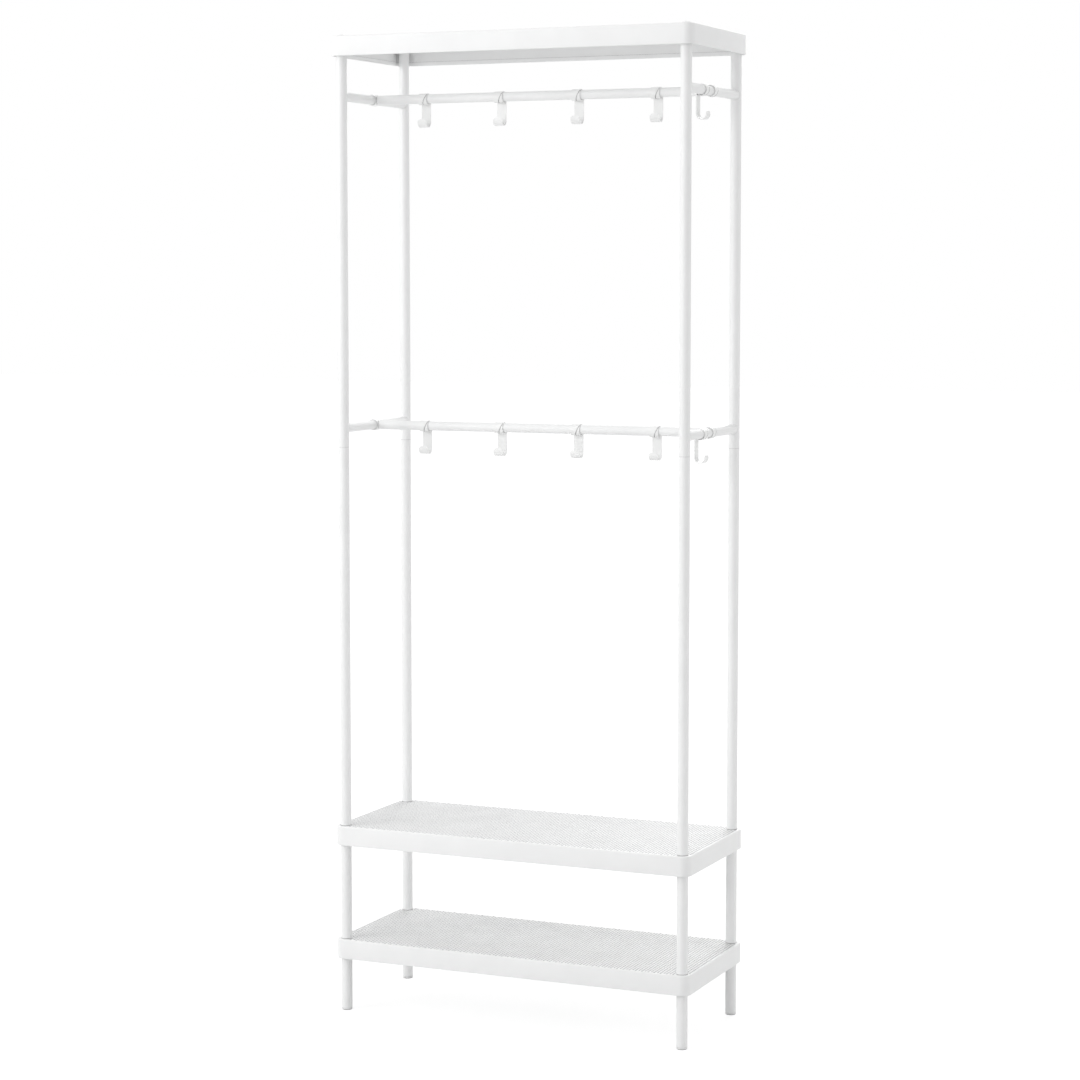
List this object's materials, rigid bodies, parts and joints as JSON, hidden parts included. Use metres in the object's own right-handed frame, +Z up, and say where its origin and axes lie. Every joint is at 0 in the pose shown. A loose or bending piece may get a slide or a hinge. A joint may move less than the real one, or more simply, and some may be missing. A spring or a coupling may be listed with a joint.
{
  "type": "coat rack",
  "caption": "Open tube-frame coat rack with perforated tray shelves, hanging rails and hooks that slide along them.",
  "frame": {"origin": "on the floor, under the middle of the rack", "axes": "+X along the width to the right, +Y through the depth to the back, +Z up; the front is towards -Y"},
  "size_m": [0.78, 0.32, 2],
  "materials": {
    "white_powder_coat": "satin powder coat with a very fine texture",
    "white_plastic": "satin moulded plastic",
    "grey_plastic": "matt moulded plastic",
    "zinc_steel": "bright zinc plate"
  },
  "bodies": {
    "rack": {"leg_front_left": "white_powder_coat", "leg_front_right": "white_powder_coat", "leg_back_left": "white_powder_coat", "leg_back_right": "white_powder_coat", "lower_post_front_left": "white_powder_coat", "lower_post_front_right": "white_powder_coat", "lower_post_back_left": "white_powder_coat", "lower_post_back_right": "white_powder_coat", "middle_post_front_left": "white_powder_coat", "middle_post_front_right": "white_powder_coat", "middle_post_back_left": "white_powder_coat", "middle_post_back_right": "white_powder_coat", "upper_post_front_left": "white_powder_coat", "upper_post_front_right": "white_powder_coat", "upper_post_back_left": "white_powder_coat", "upper_post_back_right": "white_powder_coat", "bottom_shelf": "white_powder_coat", "middle_shelf": "white_powder_coat", "top_shelf": "white_powder_coat", "upper_left_rail": "white_powder_coat", "upper_right_rail": "white_powder_coat", "lower_left_rail": "white_powder_coat", "lower_right_rail": "white_powder_coat", "upper_crossbar": "white_powder_coat", "lower_crossbar": "white_powder_coat", "top_cap_front_left": "white_powder_coat", "top_cap_front_right": "white_powder_coat", "top_cap_back_left": "white_powder_coat", "top_cap_back_right": "white_powder_coat", "upper_left_tee": "white_plastic", "upper_right_tee": "white_plastic", "lower_left_tee": "white_plastic", "lower_right_tee": "white_plastic", "foot_glide_front_left": "white_plastic", "foot_glide_front_right": "white_plastic", "foot_glide_back_left": "white_plastic", "foot_glide_back_right": "white_plastic", "seam_plugs": "grey_plastic", "leg_nuts": "zinc_steel", "lower_post_nuts": "zinc_steel", "middle_post_nuts": "zinc_steel", "upper_post_nuts": "zinc_steel", "bottom_shelf_studs": "zinc_steel", "middle_shelf_studs": "zinc_steel"},
    "upper_hook_1": {"upper_hook_1": "white_plastic"},
    "upper_hook_2": {"upper_hook_2": "white_plastic"},
    "upper_hook_3": {"upper_hook_3": "white_plastic"},
    "upper_hook_4": {"upper_hook_4": "white_plastic"},
    "lower_hook_1": {"lower_hook_1": "white_plastic"},
    "lower_hook_2": {"lower_hook_2": "white_plastic"},
    "lower_hook_3": {"lower_hook_3": "white_plastic"},
    "lower_hook_4": {"lower_hook_4": "white_plastic"},
    "upper_side_hook": {"upper_side_hook": "white_plastic"},
    "lower_side_hook": {"lower_side_hook": "white_plastic"}
  },
  "joints": [
    {"name": "upper_hook_1_slide", "type": "slide", "parent": "rack", "child": "upper_hook_1", "axis": [1, 0, 0], "range_m": [-0.074, 0.074]},
    {"name": "upper_hook_2_slide", "type": "slide", "parent": "rack", "child": "upper_hook_2", "axis": [1, 0, 0], "range_m": [-0.074, 0.074]},
    {"name": "upper_hook_3_slide", "type": "slide", "parent": "rack", "child": "upper_hook_3", "axis": [1, 0, 0], "range_m": [-0.074, 0.074]},
    {"name": "upper_hook_4_slide", "type": "slide", "parent": "rack", "child": "upper_hook_4", "axis": [1, 0, 0], "range_m": [-0.074, 0.074]},
    {"name": "lower_hook_1_slide", "type": "slide", "parent": "rack", "child": "lower_hook_1", "axis": [1, 0, 0], "range_m": [-0.074, 0.074]},
    {"name": "lower_hook_2_slide", "type": "slide", "parent": "rack", "child": "lower_hook_2", "axis": [1, 0, 0], "range_m": [-0.074, 0.074]},
    {"name": "lower_hook_3_slide", "type": "slide", "parent": "rack", "child": "lower_hook_3", "axis": [1, 0, 0], "range_m": [-0.074, 0.074]},
    {"name": "lower_hook_4_slide", "type": "slide", "parent": "rack", "child": "lower_hook_4", "axis": [1, 0, 0], "range_m": [-0.074, 0.074]},
    {"name": "upper_side_hook_slide", "type": "slide", "parent": "rack", "child": "upper_side_hook", "axis": [0, 1, 0], "range_m": [-0.07, 0.026]},
    {"name": "lower_side_hook_slide", "type": "slide", "parent": "rack", "child": "lower_side_hook", "axis": [0, 1, 0], "range_m": [-0.07, 0.026]}
  ]
}
